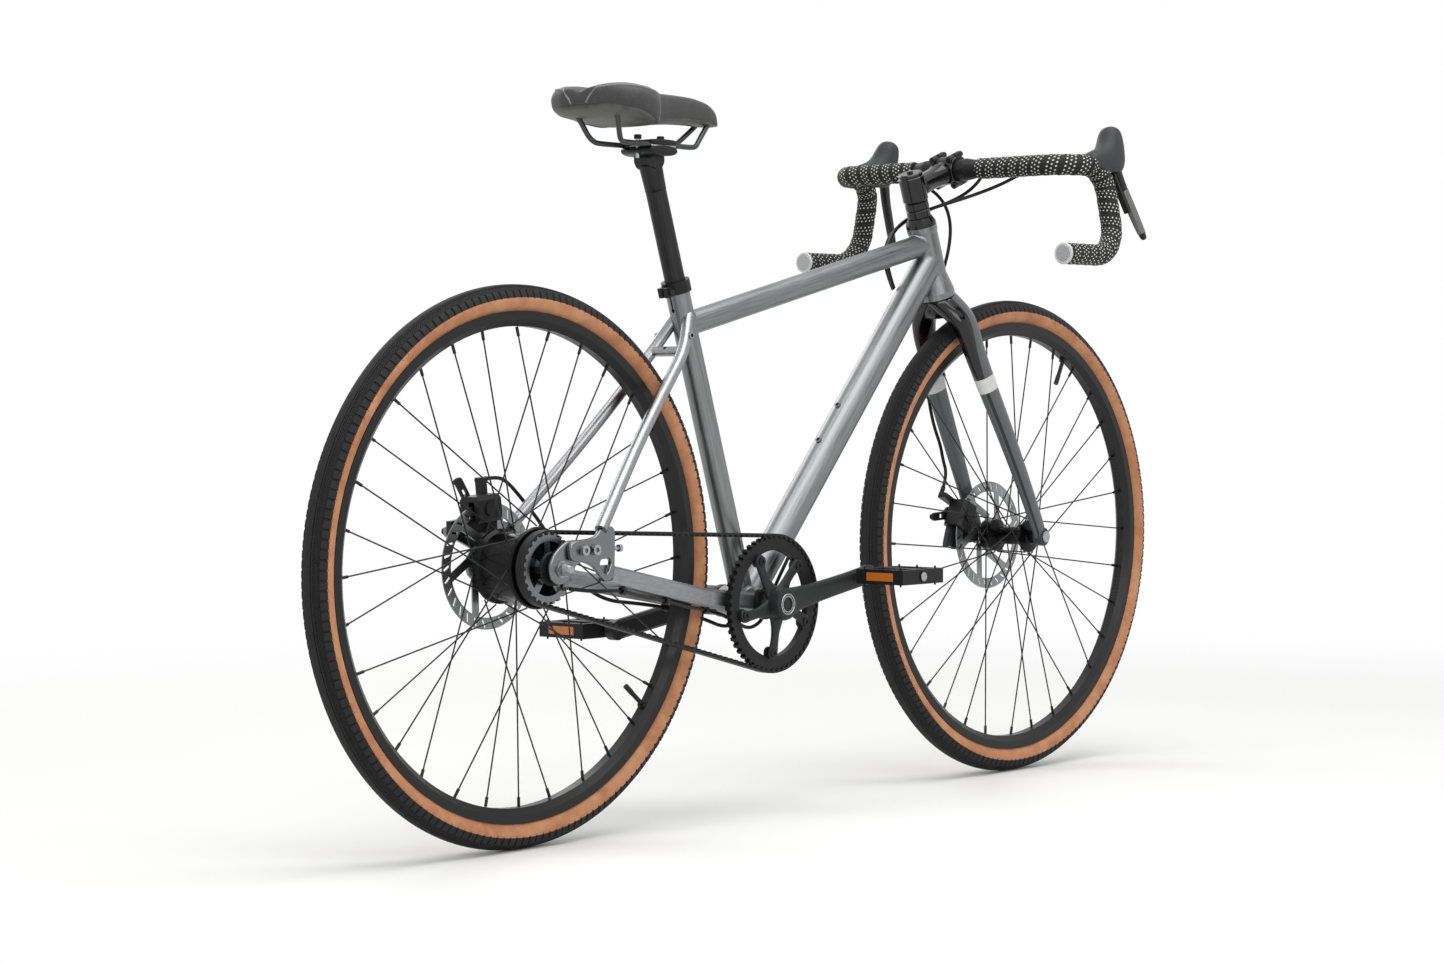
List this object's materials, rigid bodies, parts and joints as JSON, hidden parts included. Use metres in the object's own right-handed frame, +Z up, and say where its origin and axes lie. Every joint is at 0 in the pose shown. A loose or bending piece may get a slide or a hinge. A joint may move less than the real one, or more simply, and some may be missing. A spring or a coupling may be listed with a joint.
{
  "type": "gravel bicycle",
  "caption": "Gravel bicycle with drop handlebar, belt drive to a rear gear hub, disc brakes, diamond frame and grey saddle; it steers, rolls, pedals, brakes and shifts.",
  "frame": {"origin": "on the ground, halfway between the two axles, in the frame's centre plane", "axes": "+X forwards, +Y to the rider's left, +Z up"},
  "size_m": [1.7477, 0.4956, 0.9568],
  "materials": {
    "raw_steel": "satin",
    "cast_silver": "satin",
    "polished_steel": "polished",
    "black_alloy": "satin",
    "black_steel": "satin",
    "dark_grey_paint": "satin",
    "grey_alloy": "satin",
    "silver_alloy": "satin",
    "lever_black": "satin",
    "black_plastic": "matte",
    "line_black": "gloss",
    "belt_black": "matte",
    "tape": "matte",
    "hood_rubber": "matte",
    "tyre": "matte",
    "saddle_vinyl": "satin"
  },
  "bodies": {
    "frame": {"head_tube": "raw_steel", "top_tube": "raw_steel", "down_tube": "raw_steel", "seat_tube": "raw_steel", "bottom_bracket_shell": "raw_steel", "chainstays": "raw_steel", "seatstays": "raw_steel", "dropouts": "cast_silver", "axle_plates": "cast_silver", "dropout_bolts": "polished_steel", "seat_collar": "black_alloy", "bearings": "black_alloy", "rear_axle": "polished_steel", "drive_belt": "belt_black", "rear_caliper": "black_alloy", "frame_lines": "line_black", "line_clips": "black_plastic"},
    "steering": {"fork": "dark_grey_paint", "headset_stack": "black_alloy", "stem": "black_alloy", "stem_faceplate": "black_alloy", "handlebar": "black_alloy", "bar_tape": "tape", "bar_end_plugs": "black_plastic", "hoods": "hood_rubber", "front_axle": "black_alloy", "front_caliper": "black_alloy", "front_brake_line": "line_black", "steering_loops": "line_black"},
    "front_wheel": {"front_tyre": "tyre", "front_rim": "black_alloy", "front_spokes": "black_steel", "front_hub": "black_alloy", "front_rotor": "polished_steel"},
    "rear_wheel": {"rear_tyre": "tyre", "rear_rim": "black_alloy", "rear_spokes": "black_steel", "rear_hub": "black_alloy", "rear_rotor": "polished_steel"},
    "crankset": {"right_crank": "grey_alloy", "left_crank": "grey_alloy", "belt_ring": "black_alloy"},
    "sprocket": {"rear_sprocket": "silver_alloy"},
    "pulley": {"gear_pulley": "black_plastic"},
    "right_pedal": {"right_pedal": "black_plastic"},
    "left_pedal": {"left_pedal": "black_plastic"},
    "right_lever": {"right_brake_lever": "lever_black"},
    "left_lever": {"left_brake_lever": "lever_black"},
    "paddle": {"shift_paddle": "lever_black"},
    "front_arm": {"front_brake_arm": "black_alloy"},
    "rear_arm": {"rear_brake_arm": "black_alloy"},
    "front_pad": {"front_pad": "black_plastic"},
    "rear_pad": {"rear_pad": "black_plastic"},
    "seatpost": {"seatpost": "black_alloy"},
    "saddle_mount": {"saddle_cradle": "black_alloy", "saddle_clamp": "black_alloy"},
    "saddle": {"saddle_rails": "black_alloy", "saddle_base": "black_plastic", "saddle_cushion": "saddle_vinyl"}
  },
  "joints": [
    {"name": "steering", "type": "hinge", "parent": "frame", "child": "steering", "pos_m": [0.47702, 0, 0.3329], "axis": [-0.342, 0, 0.9397], "range_deg": [-50, 50], "deforming": ["steering_loops"]},
    {"name": "front_wheel_spin", "type": "hinge", "parent": "steering", "child": "front_wheel", "pos_m": [0.524, 0, 0.35], "axis": [0, 1, 0], "continuous": true},
    {"name": "rear_wheel_spin", "type": "hinge", "parent": "frame", "child": "rear_wheel", "pos_m": [-0.524, 0, 0.35], "axis": [0, 1, 0], "continuous": true},
    {"name": "crank_spin", "type": "hinge", "parent": "frame", "child": "crankset", "pos_m": [-0.091, 0, 0.284], "axis": [0, 1, 0], "continuous": true, "deforming": ["drive_belt"]},
    {"name": "sprocket_spin", "type": "hinge", "parent": "frame", "child": "sprocket", "pos_m": [-0.524, 0, 0.35], "axis": [0, 1, 0], "continuous": true},
    {"name": "right_pedal_spin", "type": "hinge", "parent": "crankset", "child": "right_pedal", "pos_m": [0.07587, -0.1365, 0.31644], "axis": [0, 1, 0], "continuous": true},
    {"name": "left_pedal_spin", "type": "hinge", "parent": "crankset", "child": "left_pedal", "pos_m": [-0.25788, 0.1365, 0.25156], "axis": [0, 1, 0], "continuous": true},
    {"name": "right_lever_pull", "type": "hinge", "parent": "steering", "child": "right_lever", "pos_m": [0.48872, -0.20792, 0.8909], "axis": [0, 0.9836, -0.1805], "range_deg": [0, 22], "stiffness_Nm_per_rad": 0.5, "springref_deg": -5.73},
    {"name": "left_lever_pull", "type": "hinge", "parent": "steering", "child": "left_lever", "pos_m": [0.48872, 0.20792, 0.8909], "axis": [0, 0.9836, 0.1805], "range_deg": [0, 22], "stiffness_Nm_per_rad": 0.5, "springref_deg": -5.73},
    {"name": "shift_press", "type": "hinge", "parent": "right_lever", "child": "paddle", "pos_m": [0.47772, -0.21126, 0.8727], "axis": [1, 0, 0], "range_deg": [0, 18], "stiffness_Nm_per_rad": 0.1, "springref_deg": -2.86},
    {"name": "pulley_turn", "type": "hinge", "parent": "frame", "child": "pulley", "pos_m": [-0.524, -0.0605, 0.35], "axis": [0, 1, 0], "range_deg": [-40, 80]},
    {"name": "front_arm_pull", "type": "hinge", "parent": "steering", "child": "front_arm", "pos_m": [0.45603, 0.06, 0.3817], "axis": [0, 1, 0], "range_deg": [0, 18]},
    {"name": "rear_arm_pull", "type": "hinge", "parent": "frame", "child": "rear_arm", "pos_m": [-0.53184, 0.0727, 0.42459], "axis": [0, 1, 0], "range_deg": [0, 18]},
    {"name": "front_pad_slide", "type": "slide", "parent": "steering", "child": "front_pad", "axis": [0, -1, 0], "range_m": [0, 0.0003]},
    {"name": "rear_pad_slide", "type": "slide", "parent": "frame", "child": "rear_pad", "axis": [0, -1, 0], "range_m": [0, 0.0003]},
    {"name": "seatpost_slide", "type": "slide", "parent": "frame", "child": "seatpost", "axis": [-0.3057, 0, 0.9521], "range_m": [-0.12, 0.06]},
    {"name": "saddle_tilt", "type": "hinge", "parent": "seatpost", "child": "saddle_mount", "pos_m": [-0.27793, 0, 0.86623], "axis": [0, 1, 0], "range_deg": [-8, 8]},
    {"name": "saddle_slide", "type": "slide", "parent": "saddle_mount", "child": "saddle", "axis": [1, 0, 0], "range_m": [-0.015, 0.015]}
  ],
  "couplings": [
    {"joint": "sprocket_spin", "follows": "crank_spin", "ratio": 2},
    {"joint": "pulley_turn", "follows": "shift_press", "ratio": 3},
    {"joint": "front_arm_pull", "follows": "left_lever_pull", "ratio": 0.8},
    {"joint": "rear_arm_pull", "follows": "right_lever_pull", "ratio": 0.8},
    {"joint": "front_pad_slide", "follows": "left_lever_pull", "m_per_rad": 0.00078052},
    {"joint": "rear_pad_slide", "follows": "right_lever_pull", "m_per_rad": 0.00078052}
  ]
}
